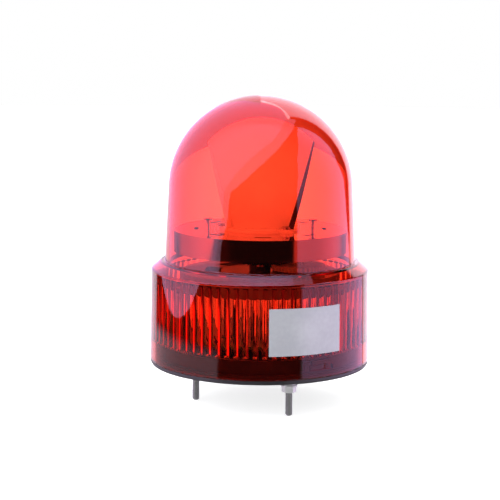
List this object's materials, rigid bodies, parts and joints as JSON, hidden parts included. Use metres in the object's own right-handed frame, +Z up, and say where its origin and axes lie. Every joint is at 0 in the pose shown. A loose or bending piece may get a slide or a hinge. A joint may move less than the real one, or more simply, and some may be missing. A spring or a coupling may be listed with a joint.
{
  "type": "rotating beacon",
  "caption": "Rotating machine beacon: a clear red dome-and-skirt lens twists onto a round base, over a motor-driven mirror drum turning round a fixed lamp.",
  "frame": {"origin": "middle of the mounting face, the underside of the rubber gasket", "axes": "+Z up through the lens and along the studs' line, -Y to the front as seen, +X to the right"},
  "size_m": [0.12, 0.12, 0.1691],
  "materials": {
    "red_lens": "clear deep red, glossy",
    "label_foil": "satin silver film",
    "black_moulding": "satin black",
    "black_rubber": "matt black",
    "zinc_steel": "bright zinc",
    "nickel_brass": "nickel plated",
    "white_moulding": "natural white acetal",
    "sintered_bronze": "sintered bronze",
    "chrome_plate": "bright plated",
    "brass": "machined",
    "mirror_coat": "vacuum metallised",
    "aluminium": "milled",
    "phosphor": "yellow phosphor",
    "board_green": "solder mask",
    "board_green_block": "satin green",
    "capacitor_sleeve": "shrink sleeve"
  },
  "bodies": {
    "base": {"base_plate": "black_moulding", "lens_seal": "black_rubber", "mounting_gasket": "black_rubber", "mounting_studs": "zinc_steel", "plain_washers": "zinc_steel", "spring_washers": "zinc_steel", "stud_nuts": "zinc_steel", "cable_grommet": "black_rubber", "standoff_pillars": "nickel_brass", "base_screws": "zinc_steel", "deck_screws": "zinc_steel", "gear_deck": "white_moulding", "spindle_holder": "black_moulding", "spindle_tube": "zinc_steel", "retaining_clip": "zinc_steel", "thrust_washer": "white_moulding", "idler_axle": "zinc_steel", "axle_clip": "zinc_steel", "motor_can": "zinc_steel", "motor_end_cap": "black_moulding", "motor_screws": "zinc_steel", "lamp_tower": "aluminium", "led_boards": "white_moulding", "led_emitters": "phosphor", "lamp_cap": "black_moulding", "driver_board": "board_green", "board_screws": "zinc_steel", "terminal_block": "board_green_block", "capacitors": "capacitor_sleeve", "power_inductor": "black_moulding", "board_chips": "black_moulding"},
    "lens": {"lens_globe": "red_lens", "rating_label": "label_foil"},
    "turntable": {"turning_drum": "chrome_plate", "lower_bush": "sintered_bronze", "upper_bush": "sintered_bronze", "drum_gear": "black_moulding", "gear_screws": "zinc_steel", "mirror": "mirror_coat", "mirror_screws": "zinc_steel"},
    "idler": {"idler_gear": "white_moulding"},
    "rotor": {"motor_shaft": "zinc_steel", "motor_pinion": "brass"}
  },
  "joints": [
    {"name": "lens_twist", "type": "hinge", "parent": "base", "child": "lens", "pos_m": [0, 0, 0.008], "axis": [0, 0, 1], "range_deg": [0, 15]},
    {"name": "reflector_spin", "type": "hinge", "parent": "base", "child": "turntable", "pos_m": [0, 0, 0.07], "axis": [0, 0, 1], "continuous": true},
    {"name": "idler_spin", "type": "hinge", "parent": "base", "child": "idler", "pos_m": [0.021, 0, 0.055], "axis": [0, 0, 1], "continuous": true},
    {"name": "motor_spin", "type": "hinge", "parent": "base", "child": "rotor", "pos_m": [0.01415, 0.01686, 0.05], "axis": [0, 0, 1], "continuous": true}
  ],
  "couplings": [
    {"joint": "idler_spin", "follows": "reflector_spin", "ratio": -4},
    {"joint": "motor_spin", "follows": "reflector_spin", "ratio": 13.333}
  ]
}
